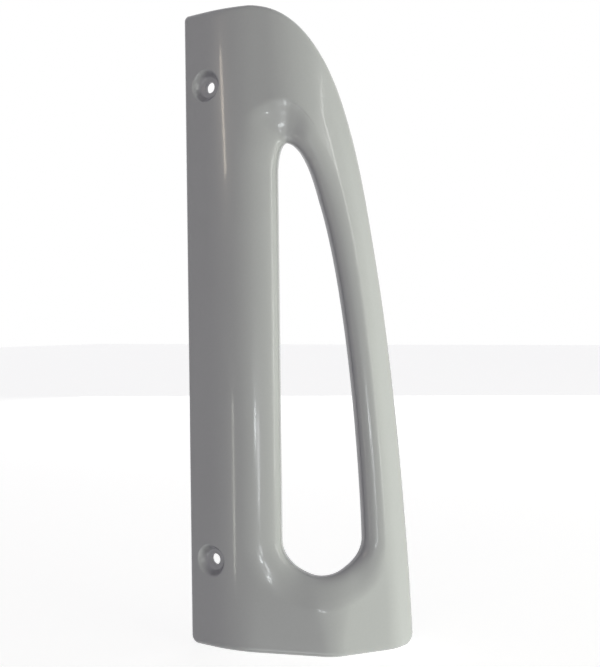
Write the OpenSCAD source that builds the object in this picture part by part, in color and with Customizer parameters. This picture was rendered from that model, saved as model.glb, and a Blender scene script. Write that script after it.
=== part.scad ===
// Refrigerator door handle: one moulded open-backed shell with a finger opening and a grip bar.
// Frame: origin midway between the two screw holes on the mounting plane, X forward along the
// fixing strip, Y into the door, Z up. The visible side faces -Y and turns towards +X.
// The skin is drawn flat as (s, z), s measured along the surface from the free edge of the
// strip, then folded round the door edge; d is the depth below the skin.

/* [Overall] */
// Length of the handle from end to end
handle_len = 320; // [260:1:420]
// Width of the skin at the lower end, measured along the surface
skin_w = 125.2; // [110:0.1:150]
// Wall thickness of the moulding
wall_t = 2.6; // [2:0.1:3.5]
// Rounding radius of the outer edge
edge_r = 2.5; // [1.5:0.1:4]
// Depth of the rim wall where it stands in front of the door
rim_depth = 11.5; // [10:0.1:13]
// Surface distance from the free edge to where the rim starts to deepen past the door edge
rim_start = 27; // [24:0.5:32]
// Surface distance over which the rim deepens
rim_run = 12; // [8:0.5:16]

/* [Outline] */
// Width of the skin at the upper end, up to the start of the shoulder
top_w = 38.1; // [35:0.1:55]
// Surface width that the long side leans to on its way up
lean_w = 111.9; // [100:0.1:135]
// Height that the long side leans to, as a part of the length
lean_z = 0.766; // [0.5:0.001:0.8]
// Surface width that pulls the shoulder out
shoulder_w = 85.6; // [80:0.1:110]
// Height that pulls the shoulder out, as a part of the length
shoulder_z = 0.986; // [0.9:0.001:0.99]
// Corner radius at the lower end, strip side
corner_bl = 4.5; // [3:0.1:8]
// Corner radius at the lower end, grip side
corner_br = 6; // [3:0.1:10]
// Corner radius at the upper end, strip side
corner_tl = 3; // [2.8:0.1:6]

/* [Folds] */
// Width of the flat strip before the first fold
strip_w = 13.8; // [12:0.1:20]
// Width of the first fold along the surface
fold1_w = 26.7; // [20:0.1:32]
// Angle of the first fold in degrees
fold1_a = 20.4; // [10:0.1:30]
// Middle of the second fold at the lower end
fold2_lo = 77.6; // [72:0.1:84]
// Middle of the second fold at the upper end
fold2_hi = 58; // [52:0.1:62]
// Width of the second fold at the lower rim
fold2_w = 11.2; // [10:0.1:16]
// Width of the second fold above the lower rim, where it runs into the opening
fold2_soft = 24; // [18:0.5:28]
// Angle of the second fold in degrees
fold2_a = 31.3; // [15:0.1:34]
// Width of the outer band of the grip bar at the lower end
band_lo = 18; // [14:0.5:20]
// Width of the outer band of the grip bar at the upper end
band_hi = 15; // [12:0.5:18]
// Width of the fold between the grip and its outer band
fold3_w = 8; // [7:0.1:12]
// Angle of that third fold in degrees
fold3_a = 25; // [10:0.1:28]

/* [Finger opening] */
// Surface position of the opening edge on the strip side
open_s = 50.5; // [46:0.1:56]
// Width of the opening at its lower end
open_w = 45.8; // [36:0.1:48]
// Height of the lower edge of the opening above the lower end
open_z = 37.7; // [34:0.1:50]
// Distance from the upper tip of the opening to the upper end
open_end = 67.5; // [60:0.1:110]
// Surface distance from the strip-side edge to the upper tip of the opening
tip_s = 6; // [4:0.1:8]
// Height of the rounded upper tip of the opening
tip_h = 15; // [10:0.5:20]
// Height by which the grip-side edge leans down from the upper tip
tip_drop = 5; // [0:0.5:10]
// Height of the rounded lower end of the opening
bow_h = 17.5; // [15:0.5:26]
// Width of the funnel round the opening on the strip side
funnel_l = 22; // [16:0.5:24]
// Width of the funnel on the grip side
funnel_r = 10; // [8:0.5:12]
// Width of the funnel below the opening
funnel_b = 13; // [9:0.5:16]
// Width of the funnel above the opening
funnel_t = 19; // [12:0.5:24]
// Depth of the curved part of the funnel
funnel_d = 7.6; // [6:0.1:8.5]
// How far the funnel wall above the opening drops from a crest: 0 round, 1 straight, more hollow
crest_t = 1.2; // [0:0.05:1.3]
// The same for the funnel wall below the opening
crest_b = 0.8; // [0:0.05:1.3]
// Height of the straight lip at the bottom of the funnel
lip_h = 2.2; // [1.5:0.1:3]

/* [Screw seats] */
// Height of the lower screw hole above the lower end
screw_z = 44; // [34:0.5:60]
// Distance of the upper screw hole from the upper end
screw_end = 37.5; // [30:0.5:60]
// Distance of the screw holes from the free edge of the strip
screw_s = 13.8; // [13:0.1:16]
// Diameter of the screw holes
hole_d = 5.5; // [4:0.1:6.5]
// Diameter of the round recess for the screw head
cup_d = 14; // [11:0.1:15]
// Depth of that recess below the strip face
cup_depth = 4; // [2.5:0.1:5]
// Width of the chamfer round the rim of the recess
cup_rim = 0.7; // [0.3:0.1:1.5]
// Thickness of the floor that the screw head clamps, resting on the door
seat_t = 2; // [1.5:0.1:3]

/* [Ribs] */
// Thickness of the stiffening ribs
rib_t = 1.8; // [1.2:0.1:2.5]
// Gap between the ribs and the mounting plane
rib_gap = 1; // [0.5:0.1:2]
// Distance of the outermost strip ribs from the rounded ends of the opening
rib_end = 16; // [8:1:30]
// Number of ribs behind the strip beside the opening
rib_n = 5; // [3:1:7]
// Number of ribs inside the grip bar
bar_rib_n = 4; // [2:1:6]

/* [Hidden] */
$fn = 64;

strip_h = cup_depth + seat_t;
screw_pitch = handle_len - screw_z - screw_end;
open_len = handle_len - open_z - open_end;
lean = [lean_w, lean_z * handle_len];
shoulder = [shoulder_w, shoulder_z * handle_len];
tip_z = open_z + open_len;
tip_x = open_s + tip_s;
left_z0 = open_z + bow_h;
left_z1 = tip_z - tip_h;
bow_s = open_s + 0.47 * open_w;
open_r = open_s + open_w;
lip_d = funnel_d + lip_h;
mid_z = screw_z + screw_pitch / 2;
zs = [screw_z, screw_z + screw_pitch];

// Cubic curve through p at parameter u.
function cubic(p, u) =
  pow(1 - u, 3) * p[0] + 3 * pow(1 - u, 2) * u * p[1] + 3 * (1 - u) * u * u * p[2] + pow(u, 3) * p[3];
function clip(v, a, b) = max(a, min(b, v));
function smooth(v) = v * v * (3 - 2 * v);

// Long side of the outline, and a table of its width over the height.
side = [[skin_w, 0], lean, shoulder, [top_w, handle_len]];
side_tab = [for (i = [0:60]) let (q = cubic(side, i / 60)) [q[1], q[0]]];
function side_s(z) = lookup(z, side_tab);

// Folds as [start, width, angle before, angle after], at height z.
function folds(z) =
  let (
    k = clip(z / handle_len, 0, 1),
    w2 = fold2_w + (fold2_soft - fold2_w) * smooth(clip(z / open_z, 0, 1)),
    s2 = fold2_lo + (fold2_hi - fold2_lo) * k - w2 / 2,
    s3 = max(side_s(z) - band_lo - (band_hi - band_lo) * k, s2 + 1.02 * w2),
    fade = 1 - smooth(clip((k - 0.6) / 0.4, 0, 1)),
    a1 = fold1_a,
    a2 = a1 + fold2_a,
    a3 = a2 + fold3_a * fade
  )
  [
    [0, strip_w, 0, 0],
    [strip_w, fold1_w, 0, a1],
    [strip_w + fold1_w, s2 - strip_w - fold1_w, a1, a1],
    [s2, w2, a1, a2],
    [s2 + w2, s3 - s2 - w2, a2, a2],
    [s3, fold3_w, a2, a3],
    [s3 + fold3_w, skin_w, a3, a3]
  ];
// Chord of an arc of length l that turns from a to b.
function chord(l, a, b) =
  abs(b - a) < 0.001 ? l * [cos(a), sin(a)]
  : l * 180 / (PI * (b - a)) * [sin(b) - sin(a), cos(a) - cos(b)];
// Position [x, y] and angle of the skin at s.
function bend(s, f, i = 0, p = [0, 0]) =
  let (q = f[i], l = clip(s - q[0], 0, q[1]), e = q[2] + (q[3] - q[2]) * l / q[1], r = p + chord(l, q[2], e))
  s <= q[0] + q[1] || i == len(f) - 1 ? [r[0], r[1], e] : bend(s, f, i + 1, r);
// Point of the folded skin at depth d, in the frame of the part.
function fold(s, z, d) =
  let (q = bend(s, folds(z)))
  [q[0] - d * sin(q[2]) - screw_s, q[1] + d * cos(q[2]) - strip_h, z - mid_z];

// Depth of the rim: the mounting plane behind the strip, then the full rim depth past the door.
function rim(s, z) =
  let (
    q = bend(s, folds(z)),
    flat = (strip_h - q[1]) / cos(q[2]),
    k = smooth(clip((s - rim_start) / rim_run, 0, 1))
  )
  flat * (1 - k) + rim_depth * k;

// Opening outline, anticlockwise from the lower end of its strip-side edge.
bow_l = [for (i = [0:14]) let (a = i * 6)
  [bow_s - (bow_s - open_s) * cos(a), left_z0 - bow_h * sin(a)]];
bow_r = [for (i = [0:14]) let (a = i * 6)
  [bow_s + (open_r - bow_s) * sin(a), left_z0 - bow_h * cos(a)]];
long_r = [for (i = [0:29]) cubic([
    [open_r, left_z0],
    [open_r, left_z0 + 0.11 * open_len],
    [tip_x + 0.7 * open_w, tip_z - tip_drop],
    [tip_x, tip_z]
  ], pow(i / 30, 0.96))];
tip_l = [for (i = [0:14]) let (a = i * 6)
  [tip_x - tip_s * sin(a), left_z1 + tip_h * cos(a)]];
long_l = [for (i = [0:11]) [open_s, left_z1 + (left_z0 - left_z1) * i / 12]];
inner = concat(bow_l, bow_r, long_r, tip_l, long_l);

// Outer outline with the same number of points on each run.
uc = corner_br / (3 * lean[1]);
cp = cubic(side, uc);
u0 = left_z0 / (3 * lean[1]) * 1.08;
cc = [cp[0] - corner_br, cp[1]];
out_bl = concat(
  [for (i = [0:2]) [0, left_z0 + (corner_bl - left_z0) * i / 3]],
  [for (i = [0:4]) let (a = i * 18) [corner_bl * (1 - cos(a)), corner_bl * (1 - sin(a))]],
  [for (i = [0:6]) [corner_bl + (bow_s - corner_bl) * i / 7, 0]]);
out_br = concat(
  [for (i = [0:5]) [bow_s + (cc[0] - bow_s) * i / 6, 0]],
  [for (i = [0:5]) let (a = i * 15) [cc[0] + corner_br * sin(a), cc[1] * (1 - cos(a))]],
  [for (i = [0:2]) cubic(side, uc + (u0 - uc) * i / 3)]);
out_r = [for (i = [0:29]) cubic(side, u0 + (1 - u0) * i / 30)];
out_tl = concat(
  [for (i = [0:5]) [top_w + (corner_tl - top_w) * i / 6, handle_len]],
  [for (i = [0:3]) let (a = i * 22.5)
    [corner_tl * (1 - sin(a)), handle_len - corner_tl * (1 - cos(a))]],
  [for (i = [0:4]) [0, handle_len - corner_tl + (left_z1 - handle_len + corner_tl) * i / 5]]);
out_l = [for (i = [0:11]) [0, left_z1 + (left_z0 - left_z1) * i / 12]];
outer = concat(out_bl, out_br, out_r, out_tl, out_l);

// Normal of loop q at point i, to the right of its direction.
function normal(q, i) =
  let (n = len(q), v = q[(i + 1) % n] - q[(i + n - 1) % n])
  [v[1], -v[0]] / norm(v);
// Funnel width for a normal direction.
function funnel_w(m) =
  1 / norm([m[0] / (m[0] < 0 ? funnel_l : funnel_r), m[1] / (m[1] > 0 ? funnel_t : funnel_b)]);
// Share of the crest for a normal direction: none on the long sides, full at both ends, and
// fading early on the grip side of the upper tip.
function crest(m) =
  let (k = m[1] > 0 ? m[1] - max(m[0], 0) / 2 : -m[1])
  (m[1] > 0 ? crest_t : crest_b) * smooth(clip((k - 0.35) / 0.6, 0, 1));
// Funnel wall at angle a, moved by t into the material: [distance from the opening, depth].
// It blends from a quarter ellipse at the lip to a slope of share c at the crest.
function flank(w, a, t, c) =
  let (
    u = a / 90,
    e = [w * (1 - cos(a)), funnel_d * (1 - sin(a))],
    l = [w * u, funnel_d * (1 - u)],
    turn = [w * sin(a), -funnel_d * cos(a)] * PI / 2 * (1 - c * u),
    v = turn + [w, -funnel_d] * c * u + (l - e) * c
  )
  e + (l - e) * c * u + t * [-v[1], v[0]] / norm(v);

// Closed section of the moulding at station i: visible skin, rim, then the inside skin back.
function section(i) =
  let (
    o = inner[i],
    m = normal(inner, i),
    w = funnel_w(m),
    c = crest(m),
    r = outer[i],
    k = -normal(outer, i),
    f = o + w * m,
    g = r + edge_r * k,
    h = r + wall_t * k
  )
  concat(
    [fold(o[0], o[1], lip_d)],
    [for (j = [0:7]) let (q = flank(w, j * 90 / 7, 0, c), p = o + q[0] * m) fold(p[0], p[1], q[1])],
    [for (j = [1:6]) let (p = f + (g - f) * j / 7) fold(p[0], p[1], 0)],
    [for (j = [0:4]) let (p = r + edge_r * (1 - sin(j * 22.5)) * k)
      fold(p[0], p[1], edge_r * (1 - cos(j * 22.5)))],
    [fold(r[0], r[1], rim(r[0], r[1]))],
    [fold(h[0], h[1], rim(r[0], r[1]))],
    [for (j = [0:5]) let (p = h + (f - h) * j / 6) fold(p[0], p[1], wall_t)],
    [for (j = [3:-1:0]) let (q = flank(w, j * 30, wall_t, c), p = o + q[0] * m) fold(p[0], p[1], q[1])],
    [let (p = o + wall_t * m) fold(p[0], p[1], lip_d)]
  );

module shell() {
  n = len(inner);
  rows = [for (i = [0:n - 1]) section(i)];
  m = len(rows[0]);
  polyhedron(
    points = [for (r = rows) each r],
    faces = [
      for (i = [0:n - 1], j = [0:m - 1])
        let (
          a = i * m + j,
          b = i * m + (j + 1) % m,
          c = ((i + 1) % n) * m + (j + 1) % m,
          d = ((i + 1) % n) * m + j
        )
        each [[a, c, b], [a, d, c]]
    ],
    convexity = 8
  );
}

// Depth of the ribs, short of the rim and of the lip.
function rib_d(s, z) = min(rim(s, z), lip_d) - rib_gap;
// Middle of the funnel wall from the opening at o, as [s, d] points; dir is -1 or 1.
function rib_flank(o, w, dir) = concat(
  [[o + dir * wall_t / 2, funnel_d]],
  [for (a = [15:15:90]) let (q = flank(w, a, wall_t / 2, 0)) [o + dir * q[0], q[1]]]);

// Flat rib across the shell at height z, hung from a list of [s, d] points in the wall.
module rib(z, top) {
  low = [for (i = [len(top) - 1:-1:0]) [top[i][0], rib_d(top[i][0], z)]];
  pts = [for (q = concat(top, low)) let (p = fold(q[0], z, q[1])) [p[0], p[1]]];
  translate([0, 0, z - mid_z - rib_t / 2])
    linear_extrude(rib_t)
      polygon(pts);
}

// Ribs behind the strip, from its side wall to the wall of the funnel.
module strip_ribs() {
  for (i = [0:rib_n - 1]) {
    z = left_z0 + rib_end + i * (left_z1 - left_z0 - 2 * rib_end) / (rib_n - 1);
    side_pts = [for (j = [5:-1:0]) [wall_t / 2 + j * (open_s - funnel_l - wall_t) / 5, wall_t / 2]];
    rib(z, concat(rib_flank(open_s, funnel_l, -1), side_pts));
  }
}

// Ribs inside the grip bar, from the wall of the funnel to the outer wall.
module bar_ribs() {
  for (i = [0:bar_rib_n - 1]) {
    o = long_r[round(len(long_r) * (0.12 + 0.65 * i / (bar_rib_n - 1)))];
    a = o[0] + funnel_r;
    b = side_s(o[1]) - wall_t / 2;
    out_pts = [for (j = [1:6]) [a + j * (b - a) / 6, wall_t / 2]];
    rib(o[1], concat(rib_flank(o[0], funnel_r, 1), out_pts));
  }
}

// Cylinder along Y from y0 to y1.
module post(d1, d2, y0, y1) {
  translate([0, y0, 0])
    rotate([-90, 0, 0])
      cylinder(d1 = d1, d2 = d2, h = y1 - y0);
}

// Round boss of each screw seat, from the skin to the mounting plane.
module seats() {
  for (z = zs)
    translate([0, 0, z - mid_z])
      post(cup_d + 2 * wall_t, cup_d + 2 * wall_t, wall_t / 2 - strip_h, 0);
}

// Recess, rim chamfer and screw hole of each screw seat.
module seat_cuts() {
  floor_y = -seat_t;
  for (z = zs)
    translate([0, 0, z - mid_z]) {
      post(cup_d, cup_d, -strip_h - 1, floor_y);
      post(cup_d + 4 * cup_rim, cup_d, -strip_h - cup_rim, cup_rim - strip_h);
      post(hole_d, hole_d, floor_y - 1, 1);
    }
}

module handle() {
  color("lightgrey")
    difference() {
      union() {
        shell();
        seats();
        strip_ribs();
        bar_ribs();
      }
      seat_cuts();
    }
}

handle();
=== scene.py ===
"""Refrigerator door handle: the moulded shell at full smoothness, its plastic, and a plain studio."""
import math
import bpy
import bmesh
import numpy as np
from mathutils import Matrix, Vector


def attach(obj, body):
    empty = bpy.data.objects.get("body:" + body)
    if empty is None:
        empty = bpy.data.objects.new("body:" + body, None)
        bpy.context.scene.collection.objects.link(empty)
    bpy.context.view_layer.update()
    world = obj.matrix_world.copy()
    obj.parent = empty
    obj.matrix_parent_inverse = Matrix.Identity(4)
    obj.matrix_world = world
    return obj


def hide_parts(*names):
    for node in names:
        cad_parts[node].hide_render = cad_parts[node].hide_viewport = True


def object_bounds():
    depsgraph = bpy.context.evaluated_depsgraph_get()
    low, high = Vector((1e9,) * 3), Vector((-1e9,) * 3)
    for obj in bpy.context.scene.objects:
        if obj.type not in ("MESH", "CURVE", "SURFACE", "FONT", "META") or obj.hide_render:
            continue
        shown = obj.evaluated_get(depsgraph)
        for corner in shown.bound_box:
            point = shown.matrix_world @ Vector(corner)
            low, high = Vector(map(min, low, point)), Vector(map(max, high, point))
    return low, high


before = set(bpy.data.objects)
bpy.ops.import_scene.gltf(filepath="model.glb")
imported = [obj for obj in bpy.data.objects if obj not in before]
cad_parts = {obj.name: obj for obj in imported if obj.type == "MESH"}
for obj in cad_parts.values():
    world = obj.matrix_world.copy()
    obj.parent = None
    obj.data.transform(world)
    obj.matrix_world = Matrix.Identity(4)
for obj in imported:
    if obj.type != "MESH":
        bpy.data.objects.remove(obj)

cad_box = [list(map(float, c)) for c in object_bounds()]
MM = 0.001

# ---- sizes in millimetres, the same as in the part's source ----
LEN, SKIN_W, WALL, EDGE_R, RIM_D, RIM_START, RIM_RUN = 320.0, 125.2, 2.6, 2.5, 11.5, 27.0, 12.0
TOP_W, LEAN, SHOULDER = 38.1, (111.9, 0.766 * LEN), (85.6, 0.986 * LEN)
CORNER_BL, CORNER_BR, CORNER_TL = 4.5, 6.0, 3.0
STRIP_W, FOLD1_W, FOLD1_A = 13.8, 26.7, 20.4
FOLD2_LO, FOLD2_HI, FOLD2_W, FOLD2_SOFT, FOLD2_A = 77.6, 58.0, 11.2, 24.0, 31.3
BAND_LO, BAND_HI, FOLD3_W, FOLD3_A = 18.0, 15.0, 8.0, 25.0
OPEN_S, OPEN_W, OPEN_Z, OPEN_LEN = 50.5, 45.8, 37.7, LEN - 37.7 - 67.5
TIP_S, TIP_H, BOW_H = 6.0, 15.0, 17.5
FUN_L, FUN_R, FUN_B, FUN_T, FUN_D, LIP_H = 22.0, 10.0, 13.0, 19.0, 7.6, 2.2
TIP_DROP, CREST_T, CREST_B = 5.0, 1.2, 0.8
SCREW_Z, PITCH, SCREW_S, HOLE_D = 44.0, LEN - 44.0 - 37.5, 13.8, 5.5
CUP_D, CUP_DEPTH, SEAT_T = 14.0, 4.0, 2.0
RIB_T, RIB_GAP, RIB_END, RIB_N, BAR_RIB_N = 1.8, 1.0, 16.0, 5, 4
STRIP_H = CUP_DEPTH + SEAT_T

TIP_Z, TIP_X = OPEN_Z + OPEN_LEN, OPEN_S + TIP_S
LEFT_Z0, LEFT_Z1 = OPEN_Z + BOW_H, OPEN_Z + OPEN_LEN - TIP_H
BOW_S, OPEN_R, LIP_D = OPEN_S + 0.47 * OPEN_W, OPEN_S + OPEN_W, FUN_D + LIP_H
MID_Z = SCREW_Z + PITCH / 2
SEAT_ZS = (SCREW_Z, SCREW_Z + PITCH)
FINE = 5          # stations of the fine loft for each one of the source
LIP_R = 0.55      # small rounding of the free edges of the moulding
CREST_R = 3.0     # reach of the rounding on the crest of the funnel
CORNER_R = 0.8    # inside corner between the face and the outer wall


def cubic(p, u):
    """Cubic curve through the control points p at the parameters u."""
    u = np.atleast_1d(np.asarray(u, float))[:, None]
    p = [np.array(q, float) for q in p]
    return (1 - u) ** 3 * p[0] + 3 * (1 - u) ** 2 * u * p[1] + 3 * (1 - u) * u * u * p[2] + u ** 3 * p[3]


def smooth(v):
    v = np.clip(v, 0, 1)
    return v * v * (3 - 2 * v)


SIDE = [(SKIN_W, 0), LEAN, SHOULDER, (TOP_W, LEN)]
SIDE_TAB = cubic(SIDE, np.linspace(0, 1, 400))


def side_s(z):
    """Width of the skin along the surface at height z."""
    return np.interp(z, SIDE_TAB[:, 1], SIDE_TAB[:, 0])


def bend(s, z):
    """Place and heading of the folded skin at surface distance s and height z."""
    s, z = np.broadcast_arrays(np.asarray(s, float), np.asarray(z, float))
    k = np.clip(z / LEN, 0, 1)
    w2 = FOLD2_W + (FOLD2_SOFT - FOLD2_W) * smooth(z / OPEN_Z)
    s2 = FOLD2_LO + (FOLD2_HI - FOLD2_LO) * k - w2 / 2
    s3 = np.maximum(side_s(z) - BAND_LO - (BAND_HI - BAND_LO) * k, s2 + 1.02 * w2)
    a1 = np.full(s.shape, math.radians(FOLD1_A))
    a2 = a1 + math.radians(FOLD2_A)
    a3 = a2 + math.radians(FOLD3_A) * (1 - smooth((k - 0.6) / 0.4))
    o = np.zeros(s.shape)
    runs = [(o, o + STRIP_W, o, o), (o + STRIP_W, o + FOLD1_W, o, a1),
            (o + STRIP_W + FOLD1_W, s2 - STRIP_W - FOLD1_W, a1, a1), (s2, w2, a1, a2),
            (s2 + w2, s3 - s2 - w2, a2, a2), (s3, o + FOLD3_W, a2, a3), (s3 + FOLD3_W, o + 1000, a3, a3)]
    x, y, t = o.copy(), o.copy(), o.copy()
    for start, width, h0, h1 in runs:
        l = np.clip(s - start, 0, width)
        e = h0 + (h1 - h0) * l / width
        turn = np.abs(e - h0) > 1e-7
        d = np.where(turn, e - h0, 1.0)
        x += np.where(turn, l * (np.sin(e) - np.sin(h0)) / d, l * np.cos(h0))
        y += np.where(turn, l * (np.cos(h0) - np.cos(e)) / d, l * np.sin(h0))
        t = np.where(l > 0, e, t)
    return x, y, t


def fold(s, z, d):
    """Point at depth d below the folded skin, in metres in the frame of the part."""
    x, y, t = bend(s, z)
    z = np.broadcast_to(z, x.shape)
    return np.stack([x - d * np.sin(t) - SCREW_S, y + d * np.cos(t) - STRIP_H, z - MID_Z], -1) * MM


def rim(s, z):
    """Depth of the free rim: the mounting plane behind the strip, deeper past the door."""
    x, y, t = bend(s, z)
    k = smooth((np.asarray(s) - RIM_START) / RIM_RUN)
    return (STRIP_H - y) / np.cos(t) * (1 - k) + RIM_D * k


def steps(n, last=False):
    m = n * FINE
    return np.arange(m + (1 if last else 0)) / m


def deg(a):
    return np.radians(a)


def line(p, q, n):
    return np.array(p) + (np.array(q) - np.array(p)) * steps(n)[:, None]


def pts(*cols):
    return np.stack(cols, -1)


# ---- the two outlines in the unfolded surface, anticlockwise ----
a = deg(90) * steps(12)
bow_l = pts(BOW_S - (BOW_S - OPEN_S) * np.cos(a), LEFT_Z0 - BOW_H * np.sin(a))
tip_l = pts(TIP_X - TIP_S * np.sin(a), LEFT_Z1 + TIP_H * np.cos(a))
a = deg(90) * steps(13)
bow_r = pts(BOW_S + (OPEN_R - BOW_S) * np.sin(a), LEFT_Z0 - BOW_H * np.cos(a))
LONG_R = [(OPEN_R, LEFT_Z0), (OPEN_R, LEFT_Z0 + 0.11 * OPEN_LEN),
          (TIP_X + 0.7 * OPEN_W, TIP_Z - TIP_DROP), (TIP_X, TIP_Z)]
EASE = 0.96                                            # spacing of the stations along the long side
long_r = cubic(LONG_R, steps(26) ** EASE)
long_l = line((OPEN_S, LEFT_Z1), (OPEN_S, LEFT_Z0), 12)
inner = np.concatenate([bow_l, bow_r, long_r, tip_l, long_l])

uc = CORNER_BR / (3 * LEAN[1])
cp = cubic(SIDE, uc)[0]
u0 = LEFT_Z0 / (3 * LEAN[1]) * 1.08
cc = (cp[0] - CORNER_BR, cp[1])
a4, a5, a3 = deg(90) * steps(4), deg(90) * steps(5), deg(90) * steps(3)
outer = np.concatenate([
    line((0, LEFT_Z0), (0, CORNER_BL), 3),
    pts(CORNER_BL * (1 - np.cos(a4)), CORNER_BL * (1 - np.sin(a4))),
    line((CORNER_BL, 0), (BOW_S, 0), 5),
    line((BOW_S, 0), (cc[0], 0), 5),
    pts(cc[0] + CORNER_BR * np.sin(a5), cc[1] * (1 - np.cos(a5))),
    cubic(SIDE, uc + (u0 - uc) * steps(3)),
    cubic(SIDE, u0 + (1 - u0) * steps(26)),
    line((TOP_W, LEN), (CORNER_TL, LEN), 5),
    pts(CORNER_TL * (1 - np.sin(a3)), LEN - CORNER_TL * (1 - np.cos(a3))),
    line((0, LEN - CORNER_TL), (0, LEFT_Z1), 4),
    line((0, LEFT_Z1), (0, LEFT_Z0), 12)])


def normals(q, reach=1):
    """Normal to the right of the direction of the closed loop q."""
    v = np.roll(q, -reach, 0) - np.roll(q, reach, 0)
    n = pts(v[:, 1], -v[:, 0])
    return n / np.linalg.norm(n, axis=1)[:, None]


m_in, m_out = normals(inner, 3), -normals(outer, 2)
fun_w = 1 / np.hypot(m_in[:, 0] / np.where(m_in[:, 0] < 0, FUN_L, FUN_R),
                     m_in[:, 1] / np.where(m_in[:, 1] > 0, FUN_T, FUN_B))
rim_d = rim(outer[:, 0], outer[:, 1])


def crest(mx, my):
    """Share of the crest in the funnel wall: none on the long sides, full at both ends."""
    k = np.where(my > 0, my - np.maximum(mx, 0) / 2, -my)
    return np.where(my > 0, CREST_T, CREST_B) * smooth((k - 0.35) / 0.6)


def flank(w, a, t, c):
    """Funnel wall at angle a, moved by t into the material: distance from the opening and depth."""
    u = a / deg(90)
    ex, ey = w * (1 - np.cos(a)), FUN_D * (1 - np.sin(a))
    lx, ly = w * u - ex, FUN_D * (1 - u) - ey
    vx = w * np.sin(a) * math.pi / 2 * (1 - c * u) + w * c * u + lx * c
    vy = -FUN_D * np.cos(a) * math.pi / 2 * (1 - c * u) - FUN_D * c * u + ly * c
    n = np.hypot(vx, vy)
    return ex + lx * c * u - t * vy / n, ey + ly * c * u + t * vx / n


def shell_rows():
    """Rings of the fine loft, one for each point of the closed section."""
    rows = []

    def ring(base, step, move, depth):
        p = base + np.asarray(step)[:, None] * move if np.ndim(step) else base + step * move
        rows.append(fold(p[:, 0], p[:, 1], depth))

    n_main, w, c = 26, fun_w, crest(m_in[:, 0], m_in[:, 1])
    slope = FUN_D * c / (w * (math.pi / 2 * (1 - c) + c))

    def soft(e):
        """Depth taken off by the rounding of the crest at distance e from it."""
        return slope * np.maximum(CREST_R - np.abs(e), 0) ** 2 / (4 * CREST_R)

    for i in range(5):                                     # rounded foot of the lip
        b = deg(90 * i / 4)
        ring(inner, LIP_R * (1 - math.sin(b)), m_in, LIP_D - LIP_R * (1 - math.cos(b)))
    for d in np.linspace(LIP_D - LIP_R, FUN_D, 4)[1:-1]:
        ring(inner, 0.0, m_in, d)
    for u in np.concatenate([np.linspace(0, 0.8, 20), np.linspace(0.82, 0.985, 10)]):   # funnel wall
        r, d = flank(w, deg(90) * u, 0, c)
        ring(inner, r, m_in, d + soft(w - r))
    f, g = inner + w[:, None] * m_in, outer + EDGE_R * m_out
    far = np.linalg.norm(g - f, axis=1)
    for e in np.linspace(0, 1, 8):
        p = f + (g - f) * (e * CREST_R / far)[:, None]
        rows.append(fold(p[:, 0], p[:, 1], soft(e * CREST_R)))
    f1 = f + (g - f) * (CREST_R / far)[:, None]
    for k in np.linspace(0, 1, n_main + 1)[1:-1]:          # open face
        p = f1 + (g - f1) * k
        rows.append(fold(p[:, 0], p[:, 1], 0))
    for b in deg(90) * np.linspace(0, 1, 9):               # outer edge
        ring(outer, EDGE_R * (1 - math.sin(b)), m_out, EDGE_R * (1 - math.cos(b)))
    for k in (0.33, 0.66):
        rows.append(fold(outer[:, 0], outer[:, 1], EDGE_R + (rim_d - LIP_R - EDGE_R) * k))
    for i in range(4):                                     # rounded foot of the rim
        b = deg(90 * i / 3)
        ring(outer, LIP_R * (1 - math.cos(b)), m_out, rim_d - LIP_R * (1 - math.sin(b)))
    for i in range(4):
        b = deg(90 * i / 3)
        ring(outer, WALL - LIP_R * (1 - math.sin(b)), m_out, rim_d - LIP_R * (1 - math.cos(b)))
    ring(outer, WALL, m_out, rim_d * 0.5 + (WALL + CORNER_R) * 0.5)
    for b in deg(90) * np.linspace(0, 1, 4):               # inside corner of the wall
        ring(outer, WALL + CORNER_R * (1 - math.cos(b)), m_out, WALL + CORNER_R * (1 - math.sin(b)))
    h = outer + (WALL + CORNER_R) * m_out
    for k in np.linspace(0, 1, 15)[1:-1]:
        p = h + (f - h) * k
        rows.append(fold(p[:, 0], p[:, 1], WALL))
    for b in deg(90) * np.linspace(1, 0, 12):              # inside of the funnel wall
        r, d = flank(w, b, WALL, c)
        ring(inner, r, m_in, d)
    for i in range(4):
        b = deg(90 * i / 3)
        ring(inner, WALL - LIP_R * (1 - math.cos(b)), m_in, LIP_D - LIP_R * (1 - math.sin(b)))
    return rows


def mesh_object(name, verts, faces):
    me = bpy.data.meshes.new(name)
    me.from_pydata([tuple(v) for v in verts], [], faces)
    me.update()
    ob = bpy.data.objects.new(name, me)
    bpy.context.collection.objects.link(ob)
    return ob


def outward(ob):
    """Turns all faces of a closed mesh outward."""
    bm = bmesh.new()
    bm.from_mesh(ob.data)
    bmesh.ops.recalc_face_normals(bm, faces=bm.faces)
    bm.to_mesh(ob.data)
    bm.free()


def build_shell():
    rows = np.array(shell_rows())                          # (section, station, 3)
    m, n = rows.shape[:2]
    faces = []
    for j in range(m):
        for i in range(n):
            k, l = (j + 1) % m, (i + 1) % n
            faces.append((j * n + i, k * n + i, k * n + l, j * n + l))
    ob = mesh_object("handle_shell", rows.reshape(-1, 3), faces)
    outward(ob)
    return ob


# ---- screw seats: lathe forms whose outer rim lies on the skin ----
SEG = 96
R_CUT = CUP_D / 2 + 1.5     # where the soft rim of the recess leaves the skin
FLAT = 0.68                 # flat floor of the recess as a share of its width
HOLE_EDGE = 0.25            # rounding of the hole's upper edge


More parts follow.
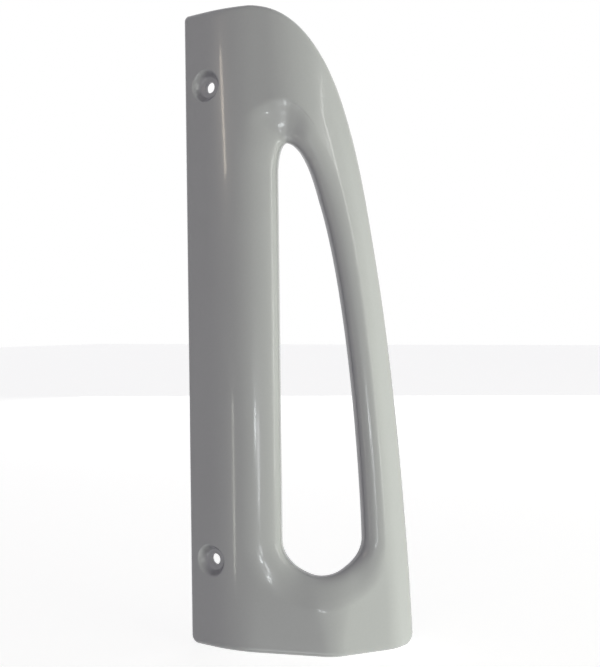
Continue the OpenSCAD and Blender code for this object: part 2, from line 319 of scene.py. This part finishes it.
def seat_profile():
    """(radius, height over the mounting plane, share that follows the curved skin)."""
    top, floor, back = -STRIP_H, CUP_DEPTH - STRIP_H, CUP_DEPTH + SEAT_T - STRIP_H
    rc, rh = CUP_D / 2, HOLE_D / 2
    out = []
    for k in np.linspace(0, 1, 20):                        # dished wall from the skin to the flat floor
        out.append((R_CUT - (R_CUT - FLAT * rc) * k, top + (floor - top) * float(smooth(k)), 1 - k))
    for i in range(4):
        b = deg(90 * i / 3)
        out.append((rh + HOLE_EDGE * (1 - math.sin(b)), floor + HOLE_EDGE * (1 - math.cos(b)), 0))
    out += [(rh, back - 0.15, 0), (rh + 0.15, back, 0),    # foot of the boss, on the door
            (rc + WALL - 0.3, back, 0), (rc + WALL, back - 0.3, 0),
            (rc + WALL, WALL * 0.6 - STRIP_H, 0)]
    return out


def build_seat(name, z):
    """Recess, floor, hole and boss of one screw seat."""
    prof = seat_profile()
    verts, faces = [], []
    ang = np.linspace(0, 2 * math.pi, SEG, endpoint=False)
    for r, y, k in prof:
        s = SCREW_S + r * np.cos(ang)
        _, sag, _ = bend(s, z)
        for i in range(SEG):
            verts.append((r * math.cos(ang[i]) * MM, (y + k * sag[i]) * MM,
                          (z - MID_Z + r * math.sin(ang[i])) * MM))
    for j in range(len(prof) - 1):
        for i in range(SEG):
            l = (i + 1) % SEG
            faces.append((j * SEG + i, j * SEG + l, (j + 1) * SEG + l, (j + 1) * SEG + i))
    return mesh_object(name, verts, faces)


def cut_round(ob, z, radius):
    """Cuts the skin away where a seat goes."""
    bm = bmesh.new()
    place = Matrix.Translation((0, (WALL / 2 - STRIP_H) * MM, (z - MID_Z) * MM))
    mat = place @ Matrix.Rotation(math.pi / 2, 4, "X")
    bmesh.ops.create_cone(bm, cap_ends=True, segments=SEG, radius1=radius * MM, radius2=radius * MM,
                          depth=(WALL + 3) * MM, matrix=mat)
    me = bpy.data.meshes.new("cutter")
    bm.to_mesh(me)
    bm.free()
    cutter = bpy.data.objects.new("cutter", me)
    bpy.context.collection.objects.link(cutter)
    mod = ob.modifiers.new("cut", "BOOLEAN")
    mod.operation, mod.solver, mod.object = "DIFFERENCE", "EXACT", cutter
    deps = bpy.context.evaluated_depsgraph_get()
    new = bpy.data.meshes.new_from_object(ob.evaluated_get(deps))
    ob.modifiers.clear()
    ob.data = new
    bpy.data.objects.remove(cutter)


# ---- ribs ----
def rib_depth(s, z):
    """Depth of a rib's free edge."""
    return np.minimum(rim(s, z), LIP_D) - RIB_GAP


def rib_flank(o, w, side):
    """Upper edge of a rib where it runs inside the funnel wall."""
    q = [(o + side * WALL / 2, FUN_D)]
    for b in deg(np.arange(12, 91, 6)):
        r, d = flank(w, b, WALL / 2, 0)
        q.append((o + side * r, d))
    return q


def build_rib(name, z, top):
    """Rib across the strip or the bar at height z, under the points (s, depth) of top."""
    s = np.array([p[0] for p in top])
    d = np.array([p[1] for p in top])
    low = rib_depth(s, z)
    half, soft = RIB_T / 2, 0.25
    up = fold(s, z, d)
    dn = fold(s, z, low - 0.2)
    tip = fold(s, z, low)
    verts, faces = [], []
    n = len(s)
    for i in range(n):
        for p, h in ((up[i], -half), (dn[i], -half), (tip[i], soft - half),
                     (tip[i], half - soft), (dn[i], half), (up[i], half)):
            verts.append((p[0], p[1], p[2] + h * MM))
    for i in range(n - 1):
        for j in range(6):
            k = (j + 1) % 6
            faces.append((i * 6 + j, i * 6 + k, (i + 1) * 6 + k, (i + 1) * 6 + j))
    faces += [tuple(range(6)), tuple((n - 1) * 6 + j for j in range(6))]
    ob = mesh_object(name, verts, faces)
    outward(ob)
    return ob


def build_ribs():
    """Thin ribs behind the strip and inside the grip bar."""
    obs = []
    for i in range(RIB_N):
        z = LEFT_Z0 + RIB_END + i * (LEFT_Z1 - LEFT_Z0 - 2 * RIB_END) / (RIB_N - 1)
        s1 = OPEN_S - FUN_L
        top = rib_flank(OPEN_S, FUN_L, -1) + [(s, WALL / 2) for s in np.linspace(s1, WALL / 2, 14)[1:]]
        obs.append(build_rib("rib_strip_%d" % i, z, top))
    for i in range(BAR_RIB_N):
        at = math.floor(30 * (0.12 + 0.65 * i / (BAR_RIB_N - 1)) + 0.5) / 30   # a station of the source
        o = cubic(LONG_R, at ** EASE)[0]
        b = float(side_s(o[1])) - WALL / 2
        top = rib_flank(o[0], FUN_R, 1) + [(s, WALL / 2) for s in np.linspace(o[0] + FUN_R, b, 14)[1:]]
        obs.append(build_rib("rib_bar_%d" % i, o[1], top))
    return obs


def join(obs, name):
    """Joins meshes into the first one."""
    bm = bmesh.new()
    for ob in obs:
        bm.from_mesh(ob.data)
    me = bpy.data.meshes.new(name)
    bm.to_mesh(me)
    bm.free()
    for p in me.polygons:
        p.use_smooth = True
    for ob in obs:
        bpy.data.objects.remove(ob)
    res = bpy.data.objects.new(name, me)
    bpy.context.collection.objects.link(res)
    return res


shell = build_shell()
for z in SEAT_ZS:
    cut_round(shell, z, R_CUT)
parts = [shell] + [build_seat("seat_%d" % i, z) for i, z in enumerate(SEAT_ZS)] + build_ribs()
body = join(parts, "handle_body")
body.data.set_sharp_from_angle(angle=math.radians(40))


# ---- material ----
def srgb(v):
    """Linear value of a display level from 0 to 255."""
    v /= 255.0
    return v / 12.92 if v <= 0.04045 else ((v + 0.055) / 1.055) ** 2.4


def plastic():
    """Light grey glossy moulded plastic."""
    mat = bpy.data.materials.new("gloss_plastic_grey")
    mat.use_nodes = True
    nt = mat.node_tree
    n, ln = nt.nodes, nt.links
    bsdf = n["Principled BSDF"]
    tc = n.new("ShaderNodeTexCoord")

    def noise(scale, detail, rough=0.5):
        t = n.new("ShaderNodeTexNoise")
        t.inputs["Scale"].default_value = scale
        t.inputs["Detail"].default_value = detail
        t.inputs["Roughness"].default_value = rough
        ln.new(tc.outputs["Object"], t.inputs["Vector"])
        return t

    def spread(src, lo, hi, a=0.2, b=0.8):
        r = n.new("ShaderNodeMapRange")
        r.interpolation_type = "SMOOTHSTEP"
        r.inputs["From Min"].default_value, r.inputs["From Max"].default_value = a, b
        r.inputs["To Min"].default_value, r.inputs["To Max"].default_value = lo, hi
        ln.new(src, r.inputs["Value"])
        return r.outputs["Result"]

    # colour: flow marks of the moulding and a fine speckle, both very faint
    cloud, speck = noise(14, 3), noise(900, 2)
    ramp = n.new("ShaderNodeValToRGB")
    ramp.color_ramp.elements[0].position, ramp.color_ramp.elements[1].position = 0.1, 0.9
    ramp.color_ramp.elements[0].color = (srgb(176), srgb(176), srgb(183), 1)
    ramp.color_ramp.elements[1].color = (srgb(182), srgb(182), srgb(189), 1)
    ln.new(cloud.outputs["Fac"], ramp.inputs["Fac"])
    mix = n.new("ShaderNodeMix")
    mix.data_type, mix.blend_type = "RGBA", "MULTIPLY"
    mix.inputs[0].default_value = 0.05
    ln.new(ramp.outputs["Color"], mix.inputs[6])
    ln.new(speck.outputs["Fac"], mix.inputs[7])
    ln.new(mix.outputs[2], bsdf.inputs["Base Color"])

    # gloss: handled patches a little duller than the rest
    ln.new(spread(noise(26, 1).outputs["Fac"], 0.2, 0.27), bsdf.inputs["Roughness"])
    bsdf.inputs["IOR"].default_value = 1.5
    bsdf.inputs["Coat Weight"].default_value = 0.5
    bsdf.inputs["Coat Roughness"].default_value = 0.07
    bsdf.inputs["Subsurface Weight"].default_value = 0.0

    # relief: slow sink waves and a fine orange peel
    wave = n.new("ShaderNodeBump")
    wave.inputs["Strength"].default_value, wave.inputs["Distance"].default_value = 0.1, 0.0006
    ln.new(noise(38, 1, 0.3).outputs["Fac"], wave.inputs["Height"])
    peel = n.new("ShaderNodeBump")
    peel.inputs["Strength"].default_value, peel.inputs["Distance"].default_value = 0.12, 0.00004
    ln.new(noise(1400, 2).outputs["Fac"], peel.inputs["Height"])
    ln.new(wave.outputs["Normal"], peel.inputs["Normal"])
    ln.new(peel.outputs["Normal"], bsdf.inputs["Normal"])
    return mat


body.data.materials.clear()
body.data.materials.append(plastic())
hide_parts("handle")
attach(body, "root")

# ---- floor ----
FLOOR_Z = cad_box[0][2]
bm = bmesh.new()
bmesh.ops.create_grid(bm, x_segments=8, y_segments=8, size=6.0)
me = bpy.data.meshes.new("floor")
bm.to_mesh(me)
bm.free()
floor = bpy.data.objects.new("floor", me)
floor.location = (0, 0, FLOOR_Z - 0.0002)
bpy.context.collection.objects.link(floor)
fm = bpy.data.materials.new("floor_pale")
fm.use_nodes = True
fn, fl = fm.node_tree.nodes, fm.node_tree.links
fb = fn["Principled BSDF"]
fb.inputs["Base Color"].default_value = (0.86, 0.86, 0.86, 1)
fb.inputs["Roughness"].default_value = 0.9
lp = fn.new("ShaderNodeLightPath")
em = fn.new("ShaderNodeEmission")
em.inputs["Color"].default_value = (1, 1, 1, 1)
em.inputs["Strength"].default_value = 0.73
add = fn.new("ShaderNodeAddShader")
mixs = fn.new("ShaderNodeMixShader")
fl.new(lp.outputs["Is Camera Ray"], mixs.inputs[0])
fl.new(fb.outputs[0], add.inputs[0])
fl.new(em.outputs[0], add.inputs[1])
fl.new(fb.outputs[0], mixs.inputs[1])
fl.new(add.outputs[0], mixs.inputs[2])
fl.new(mixs.outputs[0], fn["Material Output"].inputs["Surface"])
floor.data.materials.append(fm)
floor.visible_glossy = False                            # low lamps light the handle past the floor
floor.visible_shadow = False

# ---- world: white where it is seen, softer as a light ----
world = bpy.data.worlds.new("studio")
bpy.context.scene.world = world
world.use_nodes = True
wn, wl = world.node_tree.nodes, world.node_tree.links
wn.clear()
out = wn.new("ShaderNodeOutputWorld")
b_cam, b_light = wn.new("ShaderNodeBackground"), wn.new("ShaderNodeBackground")
b_cam.inputs["Color"].default_value = (1, 1, 1, 1)
b_light.inputs["Color"].default_value = (0.95, 0.92, 1.0, 1)
wc, ws = wn.new("ShaderNodeTexCoord"), wn.new("ShaderNodeSeparateXYZ")
wr = wn.new("ShaderNodeMapRange")                       # less light from overhead
wr.inputs["From Min"].default_value, wr.inputs["From Max"].default_value = -0.1, 0.9
wr.inputs["To Min"].default_value, wr.inputs["To Max"].default_value = 0.24, 0.12
wl.new(wc.outputs["Generated"], ws.inputs[0])
wl.new(ws.outputs["Z"], wr.inputs["Value"])
wl.new(wr.outputs["Result"], b_light.inputs["Strength"])
wp, wm = wn.new("ShaderNodeLightPath"), wn.new("ShaderNodeMixShader")
seen, also = wn.new("ShaderNodeMath"), wn.new("ShaderNodeMath")
seen.operation = also.operation = "ADD"
seen.use_clamp = also.use_clamp = True
wl.new(wp.outputs["Is Camera Ray"], seen.inputs[0])
wl.new(wp.outputs["Is Glossy Ray"], seen.inputs[1])
wl.new(seen.outputs[0], also.inputs[0])
wl.new(wp.outputs["Is Transmission Ray"], also.inputs[1])
wl.new(also.outputs[0], wm.inputs[0])
wl.new(b_light.outputs[0], wm.inputs[1])
wl.new(b_cam.outputs[0], wm.inputs[2])
wl.new(wm.outputs[0], out.inputs["Surface"])


def area(name, azimuth, height, dist, size, power, colour, tilt=0.0):
    """Upright area light, azimuth degrees from the strip's normal towards +X, at a height over the origin."""
    az = deg(azimuth)
    aim = Vector((0.03, 0.01, height))
    pos = aim + dist * Vector((math.sin(az), -math.cos(az), 0))
    data = bpy.data.lights.new(name, "AREA")
    data.shape, data.size, data.size_y = "RECTANGLE", size[0], size[1]
    data.energy, data.color = power, colour
    ob = bpy.data.objects.new(name, data)
    ob.location = pos
    turn = (aim - pos).to_track_quat("-Z", "Y").to_matrix() @ Matrix.Rotation(deg(tilt), 3, "Z")
    ob.rotation_euler = turn.to_euler()
    bpy.context.collection.objects.link(ob)
    return ob


key = area("key_right", 98, -0.6, 1.4, (1.4, 1.4), 31.5, (0.94, 1.0, 0.8))
key.visible_glossy = False
area("sheen_right", 112, 0, 1.8, (2.4, 2.4), 8, (0.98, 1.0, 0.9))
fills = [area("fill_top", 12, 0.45, 1.2, (1.0, 0.7), 1.3, (1.0, 0.95, 0.76)),
         area("fill_low", 12, -0.45, 1.2, (1.0, 0.7), 1.1, (0.98, 0.95, 1.0)),
         area("fill_back", 205, 0.1, 1.6, (1.4, 1.4), 6.5, (1.0, 1.0, 0.96))]
for lamp in fills:
    lamp.visible_glossy = False
lamps = [area("lamp_left_top", -21.5, 0.38, 1.2, (0.04, 0.23), 0.32, (1.0, 0.86, 0.7), tilt=18),
         area("lamp_left_low", -15.5, -0.29, 1.2, (0.03, 0.32), 0.2, (1.0, 1.0, 0.87)),
         area("lamp_front", 25.5, -0.18, 1.2, (0.06, 0.07), 0.25, (0.93, 0.97, 1.0)),
         area("lamp_low", 31, -0.25, 1.2, (0.06, 0.17), 0.27, (0.95, 0.96, 1.0)),
         area("lamp_crest", 18, -0.98, 1.2, (1.1, 0.5), 3.6, (0.97, 1.0, 1.0)),
         area("lamp_band", 76, 0.1, 1.2, (0.03, 0.8), 1.0, (1.0, 1.0, 0.97))]
for lamp in lamps:                                      # slim lamps that only show as reflections
    lamp.visible_diffuse = False

# ---- camera at the photograph's place ----
F_PX, LONG_PX = 903.6, 667.0
YAW, ROLL, TILT = math.radians(32.11), math.radians(-0.65), math.radians(-0.54)
DIST, SIDE_X, CAM_Z = 461.2, -57.87, 162.19
c, s = math.cos(YAW), math.sin(YAW)
cam_pos = Vector((-SIDE_X * c + DIST * s - SCREW_S, -SIDE_X * s - DIST * c - STRIP_H, CAM_Z - MID_Z)) * MM
cam_data = bpy.data.cameras.new("camera")
cam_data.sensor_width = 36.0
cam_data.lens = F_PX / LONG_PX * 36.0
cam_data.clip_start = 0.01
cam = bpy.data.objects.new("camera", cam_data)
cam.matrix_world = (Matrix.Translation(cam_pos) @ Matrix.Rotation(YAW, 4, "Z")
                    @ Matrix.Rotation(math.pi / 2 + TILT, 4, "X") @ Matrix.Rotation(ROLL, 4, "Z"))
bpy.context.collection.objects.link(cam)
bpy.context.scene.camera = cam
bpy.context.scene.view_settings.view_transform = "Standard"
